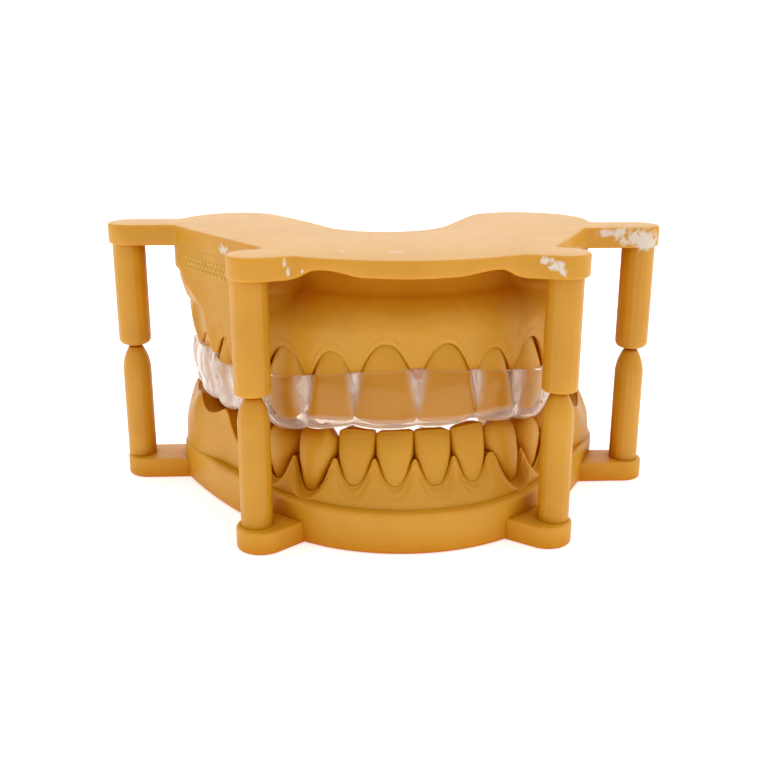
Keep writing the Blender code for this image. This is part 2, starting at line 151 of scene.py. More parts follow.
# Where the gums' outer and inner walls stand: height, then how far out at the front, at the
# sides and, where it differs, beside the last molars
UPPER_OUTER_WALL = (
    (22, -0.2, 2.2, 2.2), (24, 0.05, 2.7, 2.8), (26, 0.2, 3.1, 3.2), (28, 0.3, 3.4, 3.3),
    (29.4, 0.3, 3.5, 3.05), (30.2, 0.25, 3.5, 2.95), (31, 0.2, 3.9, 3.4), (32.5, -0.2, 4.3, 3.85),
    (34, -1, 4.5, 4.2), (35.1, -1.8, 4.6, 4.3), (35.6, -2.2, 4.7, 4.4), (36, -2.6, 6.2, 5.6),
    (37, -3.2, 6.3, 7.5), (38.5, -3.7, 6.3, 7.5), (42, -3.7, 6.3, 7.5))
UPPER_INNER_WALL = (
    (22, -6.9, -9.8), (25, -7.4, -10.1), (28, -8.5, -10.6), (31, -9.6, -11.2), (34, -10.9, -12),
    (37, -12.4, -12.9), (42, -14, -13.8))
LOWER_OUTER_WALL = (
    (5.8, 5.9, 7, 7.7), (6.2, 5.4, 6.7, 7.6), (6.6, 4.95, 6.4, 7.5), (7.3, 4.3, 6, 7.4),
    (8.2, 3.75, 5.5, 7.3), (9.4, 3.3, 4.9, 7.1), (11, 2.95, 4.2, 6.7), (12.5, 2.5, 3.5, 6.2),
    (14, 2, 2.9, 5.5), (15.5, 1.6, 2.4, 4.5))
LOWER_INNER_WALL = (
    (5.8, -6.9, -10.6), (6.4, -6.5, -10.5), (8, -5.6, -10.3), (10, -4.5, -9.8), (12, -3.7, -9.2),
    (15, -3.2, -8.7))
REAR_STARTS, REAR_ENDS = 33, 42  # where the side's wall turns into the rear's


# ---------------- curves and meshes


def smooth(value, start, end):
    share = np.clip((value - start) / (end - start), 0, 1)
    return share * share * (3 - 2 * share)


def hump(value, middle, half):
    """1 at the middle, falling smoothly to 0 at half a width on either side."""
    return np.clip(1 - ((value - middle) / half) ** 2, 0, 1) ** 2


def curve(table, at):
    """Reads each column of a table at the given positions, on a smooth curve through its rows."""
    table = np.array(table, float)
    x, y = table[:, 0], table[:, 1:]
    slope = np.gradient(y, x, axis=0)
    at = np.clip(at, x[0], x[-1])
    i = np.clip(np.searchsorted(x, at) - 1, 0, len(x) - 2)
    width = x[i + 1] - x[i]
    f = ((at - x[i]) / width)[..., None]
    width = width[..., None]
    values = ((1 + 2 * f) * (1 - f) ** 2 * y[i] + f * (1 - f) ** 2 * width * slope[i]
              + f * f * (3 - 2 * f) * y[i + 1] + f * f * (f - 1) * width * slope[i + 1])
    return np.moveaxis(values, -1, 0)


def signed_power(value, power):
    return np.sign(value) * abs(value) ** power


def blur(values, sigma, step):
    """Smooths along the first axis."""
    reach = max(1, int(3 * sigma / step))
    kernel = np.exp(-0.5 * (np.arange(-reach, reach + 1) * step / sigma) ** 2)
    kernel /= kernel.sum()
    padded = np.pad(values, [(reach, reach)] + [(0, 0)] * (values.ndim - 1), mode="edge")
    return sum(weight * padded[k:k + len(values)] for k, weight in enumerate(kernel))


def waves(seed, *places):
    """A gentle random unevenness between -1 and 1 over one or more coordinates in mm."""
    rng = np.random.default_rng(seed)
    total = 0
    for length, share in ((9.0, 0.5), (4.5, 0.3), (2.2, 0.2)):
        for _ in range(3):
            heading = rng.normal(size=len(places))
            heading *= 2 * pi / length / np.linalg.norm(heading)
            phase = sum(h * p for h, p in zip(heading, places)) + rng.uniform(0, 6.3)
            total = total + share / 3 * np.sin(phase)
    return total


class Arch:
    """A half ellipse that runs straight back past its two ends. It can be turned about its
    front, and lean to the left by a share of the distance back."""

    def __init__(self, front, half_width, depth, turn, lean):
        self.front, self.lean = np.array(front), lean
        self.cos, self.sin = cos(turn), sin(turn)
        angle = np.linspace(0, pi / 2, 900)
        self.x = half_width * np.sin(angle)
        self.y = depth * (1 - np.cos(angle))
        self.s = np.append(0, np.cumsum(np.hypot(np.diff(self.x), np.diff(self.y))))
        self.heading = np.arctan2(depth * np.sin(angle), half_width * np.cos(angle))

    def depth(self, s):
        """How far behind the arch's front a station lies."""
        return np.interp(abs(s), self.s, self.y) + np.maximum(0, abs(s) - self.s[-1])

    def points(self, s, out, z):
        s, out, z = np.broadcast_arrays(np.asarray(s, float), out, z)
        side = np.where(s >= 0, 1.0, -1.0)
        heading = np.interp(abs(s), self.s, self.heading)
        depth = self.depth(s)
        x = side * (np.interp(abs(s), self.s, self.x) + out * np.sin(heading)) - self.lean * depth
        y = depth - out * np.cos(heading)
        return np.stack((self.front[0] + x * self.cos - y * self.sin,
                         self.front[1] + x * self.sin + y * self.cos, z), -1)


UPPER_ARCH = Arch((1.3, -0.2), half_width=29.5, depth=36.0, turn=radians(3.2), lean=0.03)
LOWER_ARCH = Arch((1.1, 1.8), half_width=27.5, depth=35.0, turn=radians(3.2), lean=0.0)


def upper_tip(s):
    """The upper teeth's tips. The canines are longer than their neighbours, the right lateral
    incisor is shorter."""
    longer = 1.1 * hump(s, -18.8, 6.5) + 0.8 * hump(s, 19.2, 6.0) - 0.5 * hump(s, 12.0, 4.5)
    return 18.5 - 0.05 * UPPER_ARCH.depth(s) - longer - 0.2 * hump(s, -4.5, 6.0)


def upper_crest(s):
    return 27.4 - 0.1 * UPPER_ARCH.depth(s)


def aligner_edge(s):
    """The sheet's rim, which climbs again over the last molars."""
    climb = 0.4 * hump(s, 0.0, 8.0) + 2.3 * smooth(abs(s), 29.0, 41.0)
    return 25.8 - 0.12 * UPPER_ARCH.depth(s) - 0.9 * smooth(abs(s), 5.0, 20.0) + climb


def lower_tip(s):
    return 16.9 - 0.06 * LOWER_ARCH.depth(s) + 0.45 * hump(s, 12.5, 8.0)


def lower_crest(s):
    return 11.2 - 0.02 * LOWER_ARCH.depth(s)


# A jaw's arch, teeth's widths, crowns, necks' mean height, tips, and how far back some roots lean
UPPER_JAW = UPPER_ARCH, UPPER_WIDTHS, UPPER_CROWNS, upper_crest, upper_tip, {}
LOWER_JAW = (LOWER_ARCH, LOWER_WIDTHS, LOWER_CROWNS, lower_crest, lower_tip,
             {"left_canine": 0.12, "right_canine": 0.35})


def spans(widths):
    """Each tooth of both sides: its name, kind, side and ends along the arch."""
    rows = []
    for side, sign in (("left", -1), ("right", 1)):
        start = 0.0
        for name, width in zip(TEETH, widths):
            rows.append((f"{side}_{name}", name.split("_")[-1], sign, sign * start,
                         sign * (start + width)))
            start += width
    return rows


def grid_faces(rows, columns):
    """Four-sided faces over a grid of points, closed round its columns."""
    across = np.arange(columns)
    following = (across + 1) % columns
    up = np.arange(rows - 1)[:, None] * columns
    faces = np.stack((up + across, up + following, up + columns + following,
                      up + columns + across), -1)
    return faces.reshape(-1, 4).tolist()


def shade(mesh):
    mesh.shade_smooth()
    mesh.set_sharp_from_angle(angle=SHARP_ANGLE)


def show(name, data):
    """Links a new object to the scene."""
    obj = bpy.data.objects.new(name, data)
    SCENE.collection.objects.link(obj)
    return obj


def closed_mesh(name, points, faces, haze_and_highlight=None):
    """A clean mesh from points in the design frame, with its faces turned out."""
    mesh = bpy.data.meshes.new(name)
    mesh.from_pydata(((np.asarray(points) + ORIGIN) * MM).tolist(), [], faces)
    if haze_and_highlight is not None:
        mesh.attributes.new("haze_and_highlight", "FLOAT", "POINT").data.foreach_set("value", haze_and_highlight)
    shape = bmesh.new()
    shape.from_mesh(mesh)
    bmesh.ops.remove_doubles(shape, verts=shape.verts, dist=0.002 * MM)
    bmesh.ops.dissolve_degenerate(shape, edges=shape.edges, dist=0.001 * MM)
    bmesh.ops.recalc_face_normals(shape, faces=shape.faces)
    shape.to_mesh(mesh)
    shape.free()
    return mesh


def piece(name, points, faces, body, material, replaces=(), slot="ochre_resin", haze_and_highlight=None):
    """A closed shape that rides on a body and stands for CAD nodes."""
    mesh = closed_mesh(name, points, faces, haze_and_highlight)
    shade(mesh)
    mesh.materials.append(material)
    obj = show(name, mesh)
    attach(obj, body)
    if replaces:
        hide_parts(*replaces)
    return obj


# ---------------- materials


def feed(tree, node, inputs):
    """Gives a node's inputs their values, or links them."""
    for key, value in inputs.items():
        if isinstance(value, bpy.types.NodeSocket):
            tree.links.new(value, node.inputs[key])
        else:
            node.inputs[key].default_value = value


def add(tree, kind, inputs=None, **settings):
    """A new shader node."""
    node = tree.nodes.new("ShaderNode" + kind)
    for key, value in settings.items():
        setattr(node, key, value)
    feed(tree, node, inputs or {})
    return node


def new_material(name):
    """A material, its tree, its shader and the place on the object."""
    material = bpy.data.materials.new(name)
    material.use_nodes = True
    tree = material.node_tree
    place = add(tree, "TexCoord").outputs["Object"]
    return material, tree, tree.nodes["Principled BSDF"], place


def maths(tree, operation, first, second=0.0, clamp=False):
    return add(tree, "Math", {0: first, 1: second}, operation=operation, use_clamp=clamp).outputs[0]


def noise(tree, place, scale, detail=3.0, distortion=0.0):
    return add(tree, "TexNoise", {"Vector": place, "Scale": scale, "Detail": detail,
                                  "Distortion": distortion}).outputs["Fac"]


def ramp(tree, value, low, high, to_low=0.0, to_high=1.0):
    return add(tree, "MapRange", {"Value": value, "From Min": low, "From Max": high,
                                  "To Min": to_low, "To Max": to_high},
               interpolation_type="SMOOTHSTEP").outputs["Result"]


def mix(tree, share, first, second):
    return add(tree, "Mix", {0: share, 6: first, 7: second}, data_type="RGBA").outputs[2]


# Chalky powder left on the print: where each patch is, and its reach in X, Y and Z
POWDER = (
    ((37.4, 21.2, 41), (4.6, 2, 1.9)), ((39.3, 21.4, 39.9), (2.4, 2, 2)),
    ((34, 21, 41.6), (3.6, 1.6, 0.9)), ((18.1, -3.2, 41.9), (1.3, 1.4, 0.8)),
    ((19.3, -3.6, 41.2), (1.4, 1.4, 1)), ((20.3, -3.8, 40.4), (0.9, 1.4, 0.9)),
    ((-16.5, -2.6, 41.6), (0.32, 1.4, 0.8)), ((-16.1, -2.6, 40.5), (0.28, 1.4, 0.8)),
    ((-14.2, -2.6, 40.7), (0.25, 1.2, 0.5)), ((-26, 13, 40.7), (1.2, 2.2, 1.2)),
    ((-2, 0.5, 42.5), (1.6, 0.4, 0.2)), ((-9, 1.2, 42.5), (1.2, 0.4, 0.2)))


def powder_mask(tree, place):
    """1 where powder lies, with a ragged edge."""
    ragged = noise(tree, place, 900.0, detail=5.0, distortion=0.6)
    total = None
    for middle, size in POWDER:
        spot = [(m + o) * MM for m, o in zip(middle, ORIGIN)]
        value = place
        for operation, by in (("SUBTRACT", spot), ("DIVIDE", [r * MM for r in size])):
            value = add(tree, "VectorMath", {0: value, 1: by}, operation=operation).outputs[0]
        length = add(tree, "VectorMath", {0: value}, operation="LENGTH")
        near = maths(tree, "SUBTRACT", 1.0, length.outputs["Value"])
        total = near if total is None else maths(tree, "MAXIMUM", total, near)
    ragged = maths(tree, "MULTIPLY", maths(tree, "SUBTRACT", ragged, 0.52), 2.6)
    uneven = maths(tree, "ADD", total, ragged)
    return maths(tree, "MULTIPLY", ramp(tree, uneven, 0.0, 0.7), ramp(tree, total, -0.05, 0.2))


def resin(name, powder=False, beads=False, sheltered=False):
    """Ochre printing resin: translucent, satin, with faint layer lines and a little mottling.
    Places that its surroundings hem in get painted shade: darker, more orange and less glossy.
    The beads get painted light instead: a paler colour.
    """
    material, tree, shader, place = new_material(name)
    clouds = noise(tree, place, 130.0, detail=4.0)
    grain = noise(tree, place, 2600.0, detail=2.0)
    # Painted shade: ambient occlusion paints hemmed-in places darker and more orange and turns their
    # gloss down. Where sheltered is set, only the piece's own shape counts, so the sheet over the
    # crowns adds no painted shade.
    openness = add(tree, "AmbientOcclusion", {"Distance": 9.0 * MM}, samples=8,
                   only_local=sheltered).outputs["AO"]
    free_of_painted_shade = ramp(tree, openness, 0.12, 0.75)
    tone = mix(tree, ramp(tree, clouds, 0.35, 0.65), OCHRE, LIGHT_OCHRE)
    # The beads skip the painted shade and are mixed towards a paler colour: painted light that
    # offsets their shading.
    tone = mix(tree, 0.35, tone, PAINTED_LIGHT_OCHRE) if beads else mix(tree, free_of_painted_shade, PAINTED_SHADE_OCHRE, tone)
    rough = ramp(tree, grain, 0.3, 0.7, 0.38, 0.48)
    layers = add(tree, "TexWave", {"Vector": place, "Scale": 1600.0, "Distortion": 0.4},
                 bands_direction="Z").outputs["Fac"]
    height = maths(tree, "ADD", maths(tree, "MULTIPLY", grain, 0.5),
                   maths(tree, "MULTIPLY", layers, 0.35))
    if powder:
        mask = powder_mask(tree, place)
        tone = mix(tree, mask, tone, POWDER_COLOUR)
        rough = maths(tree, "ADD", rough, maths(tree, "MULTIPLY", mask, 0.4), clamp=True)
        height = maths(tree, "ADD", height, maths(tree, "MULTIPLY", mask, 3.0))
    bump = add(tree, "Bump", {"Height": height, "Strength": 0.25, "Distance": 0.03 * MM})
    # Painted shade on the gloss: less specular where the resin is hemmed in
    gloss_with_painted_shade = ramp(tree, openness, 0.35, 0.9, 0.05, 0.45)
    feed(tree, shader, {
        "Base Color": tone, "Roughness": rough, "Specular IOR Level": gloss_with_painted_shade,
        "Normal": bump.outputs["Normal"], "IOR": 1.5, "Subsurface Weight": 0.4,
        "Subsurface Radius": (1.0, 0.42, 0.1), "Subsurface Scale": 1.8 * MM})
    return material


def clear_plastic():
    """Thermoformed sheet: clear, and milky where an attribute on the mesh says so. This is
    partly its own haze and partly painted highlight for light caught at its grooves and edges.
    Light reaches the teeth through it."""
    material, tree, shader, place = new_material("clear_thermoformed_sheet")
    stretched = add(tree, "Mapping", {"Vector": place, "Scale": (1.0, 1.0, 0.35)})
    streaks = noise(tree, stretched.outputs["Vector"], 700.0, detail=4.0, distortion=1.0)
    # Painted highlight and haze: the attribute, broken into streaks, makes the sheet milky and less
    # clear, with a darker, pinker tint.
    haze_and_highlight = add(tree, "Attribute", attribute_name="haze_and_highlight").outputs["Fac"]
    haze_and_highlight = maths(tree, "MULTIPLY", haze_and_highlight, ramp(tree, streaks, 0.35, 0.65, 0.35, 1.0), clamp=True)
    wrinkle = noise(tree, place, 700.0, detail=2.0)
    bump = add(tree, "Bump", {"Height": wrinkle, "Strength": 0.25, "Distance": 0.06 * MM})
    tint = mix(tree, ramp(tree, haze_and_highlight, 0.02, 0.2), (0.96, 0.92, 0.81, 1.0), (0.84, 0.74, 0.67, 1.0))
    feed(tree, shader, {
        "Base Color": tint, "Roughness": ramp(tree, haze_and_highlight, 0.0, 0.6, 0.02, 0.22),
        "Transmission Weight": maths(tree, "SUBTRACT", 1.0, haze_and_highlight),
        "Normal": bump.outputs["Normal"], "Specular IOR Level": 0.5, "IOR": 1.24})
    rays = add(tree, "LightPath").outputs
    passing = maths(tree, "MAXIMUM", rays["Is Shadow Ray"], rays["Is Diffuse Ray"])
    through = add(tree, "BsdfTransparent", {"Color": (0.92, 0.87, 0.79, 1.0)})
    both = add(tree, "MixShader", {0: passing, 1: shader.outputs[0], 2: through.outputs[0]})
    tree.links.new(both.outputs[0], tree.nodes["Material Output"].inputs["Surface"])
    return material


def floor_material():
    material, tree, shader, place = new_material("pale_floor")
    tone = mix(tree, noise(tree, place, 6.0), (0.90, 0.90, 0.90, 1.0), (0.93, 0.93, 0.93, 1.0))
    feed(tree, shader, {
        "Base Color": tone, "Roughness": 0.9, "Specular IOR Level": 0.1,
        "Emission Color": (1.0, 1.0, 1.0, 1.0), "Emission Strength": 0.45})
    return material


OCHRE = (0.59, 0.272, 0.008, 1.0)
LIGHT_OCHRE = (0.63, 0.30, 0.013, 1.0)
# Painted shade: the colour that hemmed-in places are painted towards
PAINTED_SHADE_OCHRE = (0.47, 0.13, 0.0, 1.0)
# Painted light: the paler colour that the beads are mixed towards
PAINTED_LIGHT_OCHRE = (0.80, 0.50, 0.12, 1.0)
POWDER_COLOUR = (0.70, 0.61, 0.51, 1.0)
# Bases and casts get painted shade in their hollows. The resin under the sheet gets it from its own
# shape only. The beads are painted lighter.
BASE_RESIN = resin("ochre_resin_bases", powder=True)
CAST_RESIN = resin("ochre_resin_casts")
CROWN_RESIN = resin("ochre_resin_under_sheet", sheltered=True)
BEAD_RESIN = resin("ochre_resin_beads", beads=True)
CLEAR = clear_plastic()


# ---------------- bases and posts


def arc(first, middle, last, steps=28):
    """Points on the circle through three points, without the last one."""
    (ax, ay), (bx, by), (cx, cy) = first, middle, last
    cross = 2 * (ax * (by - cy) + bx * (cy - ay) + cx * (ay - by))
    aa, bb, cc = (x * x + y * y for x, y in (first, middle, last))
    ox = (aa * (by - cy) + bb * (cy - ay) + cc * (ay - by)) / cross
    oy = (aa * (cx - bx) + bb * (ax - cx) + cc * (bx - ax)) / cross
    radius = hypot(ax - ox, ay - oy)
    start, end = atan2(ay - oy, ax - ox), atan2(cy - oy, cx - ox)
    turn = 1 if (bx - ax) * (cy - ay) - (by - ay) * (cx - ax) > 0 else -1
    if turn * end < turn * start:
        end += turn * 2 * pi
    angle = start + (end - start) * np.arange(steps) / steps
    return np.stack((ox + radius * np.cos(angle), oy + radius * np.sin(angle)), -1)


def arcs(run):
    return np.concatenate([arc(*run[i:i + 3]) for i in range(0, len(run) - 2, 2)])


def lower_base_outline():
    """The lower base's outline, open at the back round the tongue's space."""
    s = np.linspace(sum(LOWER_WIDTHS), -sum(LOWER_WIDTHS), 160)
    inner = LOWER_ARCH.points(s, -7.0 - 4.0 * smooth(abs(s), 15.0, 24.0), 0)[:, :2]
    return np.concatenate((arcs(LOWER_OUTSIDE), inner, arcs(LOWER_REAR_LEFT)))


def capsule(start, end, radius):
    """The outline of a bar with two round ends."""
    (ax, ay), (bx, by) = start, end
    heading = atan2(by - ay, bx - ax)
    half = np.linspace(0, pi, 33)
    angle = heading + np.append(pi / 2 + half, half - pi / 2)
    x, y = np.repeat((start, end), len(half), axis=0).T
    return np.stack((x + radius * np.cos(angle), y + radius * np.sin(angle)), -1)


def resample(outline, step):
    """The same closed outline with points at even distances."""
    closed = np.concatenate((outline, outline[:1]))
    along = np.append(0, np.cumsum(np.hypot(*np.diff(closed, axis=0).T)))
    at = np.linspace(0, along[-1], max(8, int(along[-1] / step)), endpoint=False)
    return np.stack([np.interp(at, along, closed[:, k]) for k in (0, 1)], -1)


def soften(outline, sigma):
    """Rounds an outline's corners."""
    even = resample(outline, OUTLINE_STEP)
    reach = int(4 * sigma / OUTLINE_STEP)
    wrapped = np.concatenate((even[-reach:], even, even[:reach]))
    return blur(wrapped, sigma, OUTLINE_STEP)[reach:-reach]


def inside(points, outline):
    """Which points lie within a closed outline."""
    x, y = points[:, :1], points[:, 1:]
    ax, ay = outline.T
    bx, by = np.roll(outline, -1, axis=0).T
    crosses = ((ay > y) != (by > y)) & (x < (bx - ax) * (y - ay) / (by - ay + 1e-12) + ax)
    return crosses.sum(axis=1) % 2 == 1


def after_gap(points, keep):
    """The kept points of a closed outline, in order, starting after the dropped ones."""
    start = next(i for i in range(len(points)) if keep[i] and not keep[i - 1])
    order = np.roll(np.arange(len(points)), -start)
    return points[order][keep[order]]


def with_arm(outline, arm):
    """An outline joined with a bar that sticks out of it."""
    return np.concatenate((after_gap(outline, ~inside(outline, arm)),
                           after_gap(arm, ~inside(arm, outline))))


def normals(outline):
    ahead = np.roll(outline, -1, axis=0) - np.roll(outline, 1, axis=0)
    ahead /= np.linalg.norm(ahead, axis=1)[:, None]
    return np.stack((ahead[:, 1], -ahead[:, 0]), -1)


def fill(outline, height, spacing=None):
    """Triangles over an outline, with its height at each point."""
    points = outline
    if spacing:
        low, high = outline.min(axis=0), outline.max(axis=0)
        x, y = np.meshgrid(np.arange(low[0], high[0], spacing), np.arange(low[1], high[1], spacing))
        grid = np.stack((x.ravel(), y.ravel()), -1)
        inner = outline - 0.6 * spacing * normals(outline)
        points = np.concatenate((outline, grid[inside(grid, inner)]))
    made = geometry.delaunay_2d_cdt([Vector(p) for p in points], [], [list(range(len(outline)))],
                                    1, 1e-6)
    flat = np.array([tuple(v) for v in made[0]])
    return np.column_stack((flat, height(flat[:, 0], flat[:, 1]))), [list(f) for f in made[2]]


def level(height):
    """A flat face's height at each place."""
    return lambda x, y: height + 0.0 * (x + y)


def plate(outline, bottom, top, edge, spacing=None):
    """Points and faces of a slab with rounded edges, from its heights at each place."""
    out = normals(outline)
    rings = []
    for angles, height, sign in (((0, pi / 2), bottom, 1), ((pi / 2, 0), top, -1)):
        for angle in np.linspace(*angles, 6):
            inset, rise = edge * (1 - sin(angle)), sign * edge * (1 - cos(angle))
            rings.append(np.column_stack((outline - inset * out, height(*outline.T) + rise)))
    points, faces = np.concatenate(rings), grid_faces(len(rings), len(outline))
    for ring, height, gap in ((rings[0], bottom, spacing), (rings[-1], top, None)):
        more, triangles = fill(ring[:, :2], height, gap)
        faces += [[i + len(points) for i in face] for face in triangles]
        points = np.concatenate((points, more))
    return points, faces


def plate_underside(x, y):
    """The plate is thinner along its front edge, in waves between the front arms."""
    edge = 0.9 + 0.75 * hump(x, -11.3, 5.0) + 0.6 * hump(x, 11.5, 5.5) - 0.1 * hump(x, 0.0, 6.0)
    middle = 1 - smooth(abs(x + 0.3), 12.6, 16.2)
    return PLATE_BOTTOM + edge * middle * smooth(-y, -8.0, -4.0)


def add_bases():
    upper = soften(np.concatenate((arcs(UPPER_FRONT), arcs(UPPER_REST))), 0.5)
    lower = soften(lower_base_outline(), 0.5)
    joined = upper
    for bar in UPPER_ARMS.values():
        joined = with_arm(joined, resample(capsule(*bar), OUTLINE_STEP))
    shape = plate(soften(joined, 0.45), plate_underside, level(PLATE_TOP), edge=0.4, spacing=1.2)
    piece("upper_base_plate", *shape, "upper_cast", BASE_RESIN, ["upper_base"])

    shape = plate(lower, level(0.0), level(LEDGE), edge=0.6)
    base = piece("lower_base_plate", *shape, "lower_cast", BASE_RESIN, ["lower_base"])
    for bar in LOWER_ARMS.values():
        outline = resample(capsule(*bar), OUTLINE_STEP)
        add_bar(base, *plate(outline, level(0.0), level(ARM_TOP), edge=0.4))
    return upper, lower


def add_bar(base, points, faces):
    """Joins an arm to a base."""
    arm = show("arm", closed_mesh("arm", points, faces))
    boolean = base.modifiers.new("arm", "BOOLEAN")
    boolean.operation = "UNION"
    boolean.object = arm
    boolean.solver = "EXACT"
    evaluated = base.evaluated_get(bpy.context.evaluated_depsgraph_get())
    joined = bpy.data.meshes.new_from_object(evaluated)
    base.modifiers.clear()
    base.data = joined
    shade(joined)
    bpy.data.objects.remove(arm)


def add_post(node, profile, body):
    """A printed post: turned from a profile, with the faint flats of a many-sided bar."""
    sides, columns = 16, 96
    angle = 2 * pi * np.arange(columns) / columns
    within = (angle % (2 * pi / sides)) - pi / sides
    flats = 1 - 0.7 * (1 - cos(pi / sides) / np.cos(within))
    profile = np.array(profile)
    along = np.append(0, np.cumsum(np.hypot(*np.diff(profile, axis=0).T)))
    at = np.unique(np.concatenate((along, np.arange(0, along[-1], 0.35))))
    radius, z = (np.interp(at, along, profile[:, k]) for k in (0, 1))
    x, y = (centre(node) - ORIGIN)[:2]
    rows = np.stack((x + radius[:, None] * flats * np.cos(angle),
                     y + radius[:, None] * flats * np.sin(angle),
                     np.repeat(z[:, None], columns, 1)), -1)
    piece(node + "_printed", rows.reshape(-1, 3), grid_faces(len(rows), columns), body,
          BASE_RESIN, [node])


# A lower post's rounded tip: share of the radius, and how far below the top
POST_TIP = ((0.36, 0.0), (0.50, 0.15), (0.62, 0.65), (0.78, 1.45), (0.91, 2.4), (1.0, 3.6))


def add_posts():
    wide, slim = (centre(node)[0] - box(node)[0][0]
                  for node in ("upper_front_left_post", "lower_front_left_post"))
    for corner in UPPER_ARMS:
        front = corner.startswith("front")
        rounding = 0.4 if front else 1.15
        meet = POSTS_MEET + (0.45 if front else 0.0)
        foot, tip = meet + GAP / 2, meet - GAP / 2
        upper = [(0, PLATE_BOTTOM + 1.0), (wide, PLATE_BOTTOM + 1.0)]
        upper += [(wide - rounding * (1 - cos(a)), foot + rounding * (1 - sin(a)))
                  for a in np.linspace(0, pi / 2, 8)]
        across = np.linspace(0.36, 1.0, 16)
        fall = curve(POST_TIP, across)[0]
        lower = [(0, tip)] + list(zip(slim * across, tip - fall))
        lower += [(slim, ARM_TOP - 1.0), (0, ARM_TOP - 1.0)]
        add_post(f"upper_{corner}_post", upper + [(0, foot)], "upper_cast")
        add_post(f"lower_{corner}_post", lower, "lower_cast")


# ---------------- teeth


def edge_shape(kind, jaw, along, across, distal):
    """How much shorter a crown is at a place than at its highest point, and the depth of the
    chewing surface there."""
    far = distal * along
    if kind == "incisor":
        corner = 0.25 * abs(along) ** 3 + 0.35 * np.clip(far, 0, 1) ** 3
        return corner, 0 * along
    if kind == "canine" and jaw == "lower" and distal < 0:
        # Worn flat, with a small spike near its front corner
        worn = 0.5 + 0.8 * np.clip((abs(along) - 0.62) / 0.38, 0, 1) ** 1.5
        return worn - 0.5 * hump(far, -0.55, 0.24), 0 * along
    if kind == "canine":
        return 1.35 * np.clip(abs(along + 0.12 * distal) - 0.1, 0, 1) ** 1.15, 0 * along
    lingual = (1 - across) / 2
    if kind == "premolar":
        short = 0.9 * abs(along) ** 1.6 * (1 - 0.4 * lingual) + 0.7 * lingual
        short = short + (0.8 if jaw == "lower" else 0.0)
        bowl = 1.5 * (1 - along ** 4) + 0.3 * hump(across, 0.0, 0.3)
        return short, bowl
    dip = hump(along, 0.02 * distal, 0.34)
    short = 0.55 * dip + 0.8 * abs(along) ** 5 + 0.25 * lingual
    grooves = 0.35 * hump(across, 0.0, 0.25) + 0.25 * hump(along, 0.0, 0.2)
    return short, 1.25 * (1 - along ** 6) + grooves


def crown(word, jaw, row, seed):
    """Points and faces of one tooth."""
    arch, _, tables, neck, tip, leans = jaw
    name, kind, sign, start, end = row
    middle, half = (start + end) / 2, abs(end - start) / 2
    table = tables[kind]
    low = table[0][0]
    share = low + (1 - low) * np.sin(np.linspace(0, pi / 2, CROWN_ROWS)) ** 1.2
    width, inner, outer = curve(table, share)[:, :, None]
    angle = 2 * pi * np.arange(CROWN_SIDES) / CROWN_SIDES
    power = 2 / CROWN_SQUARENESS[kind]
    along, across = signed_power(np.cos(angle), power), signed_power(np.sin(angle), power)
    waist = inner + CROWN_WAIST * (outer - inner)
    out = waist + np.where(across > 0, across * (outer - waist), across * (waist - inner))
    narrow = 1 - LINGUAL_TAPER[kind] * np.clip(-across, 0, 1) ** 1.5
    lean = leans.get(name, 0.0) * np.clip(0.3 - share[:, None], 0, None)
    s = middle + lean * sign * half + along * half * width * narrow
    toward = 1 if word == "lower" else -1
    short, _ = edge_shape(kind, word, along, across, sign)
    share = share[:, None]
    z = neck(s) + share * (tip(s) - toward * short - neck(s))
    out = out + 0.05 * waves(seed, s, z) * smooth(share, -0.2, 0.3)

    points = [arch.points(s, out, z).reshape(-1, 3)]
    half_way = CROWN_SIDES // 2
    facial = np.arange(1, half_way)
    step = np.arange(1, CROWN_CAP)[None, :] / CROWN_CAP
    cap_s, cap_out = (rim[facial, None] * (1 - step) + rim[CROWN_SIDES - facial, None] * step
                      for rim in (s[-1], out[-1]))
    cap_along = along[facial, None] + 0 * step
    cap_across = across[facial, None] * (1 - 2 * step)
    short, bowl = edge_shape(kind, word, cap_along, cap_across, sign)
    depth = bowl * (1 - (2 * step - 1) ** 2) ** 0.8 - 0.06 * np.sin(pi * step)
    cap_z = tip(cap_s) - toward * (short + depth)
    points.append(arch.points(cap_s, cap_out, cap_z).reshape(-1, 3))

    first_rim, first_cap = (CROWN_ROWS - 1) * CROWN_SIDES, CROWN_ROWS * CROWN_SIDES

    def corner(i, k):
        if i in (0, half_way) or k == 0:
            return first_rim + i
        if k == CROWN_CAP:
            return first_rim + CROWN_SIDES - i
        return first_cap + (i - 1) * (CROWN_CAP - 1) + k - 1

    faces = grid_faces(CROWN_ROWS, CROWN_SIDES) + [list(range(CROWN_SIDES))]
    for i in range(half_way):
        for k in range(CROWN_CAP):
            face = [corner(i, k), corner(i + 1, k), corner(i + 1, k + 1), corner(i, k + 1)]
            face = list(dict.fromkeys(face))
            if len(face) > 2:
                faces.append(face)
    return np.concatenate(points), faces


def crown_reach(jaw, s, z, facial):
    """How far out (or in) the crowns reach at each station and height."""
    _, widths, crowns, neck, tip, leans = jaw
    nothing = -FAR if facial else FAR
    best = np.full(np.broadcast(s, z).shape, nothing)
    for name, kind, _, start, end in spans(widths):
        half = abs(end - start) / 2
        share = (z - neck(s)) / (tip(s) - neck(s))
        lean = leans.get(name, 0.0) * np.clip(0.3 - share, 0, None)
        middle = (start + end) / 2 + lean * (end - start) / 2
        width, inner, outer = curve(crowns[kind], share)
        along = abs(s - middle) / (half * width)
        waist = inner + CROWN_WAIST * (outer - inner)
        power = CROWN_SQUARENESS[kind]
        bow = np.clip(1 - along ** power, 0, 1) ** (1 / power)
        value = waist + bow * ((outer if facial else inner) - waist)
        value = np.where(along < 1, value, nothing)
        best = np.maximum(best, value) if facial else np.minimum(best, value)
    return best


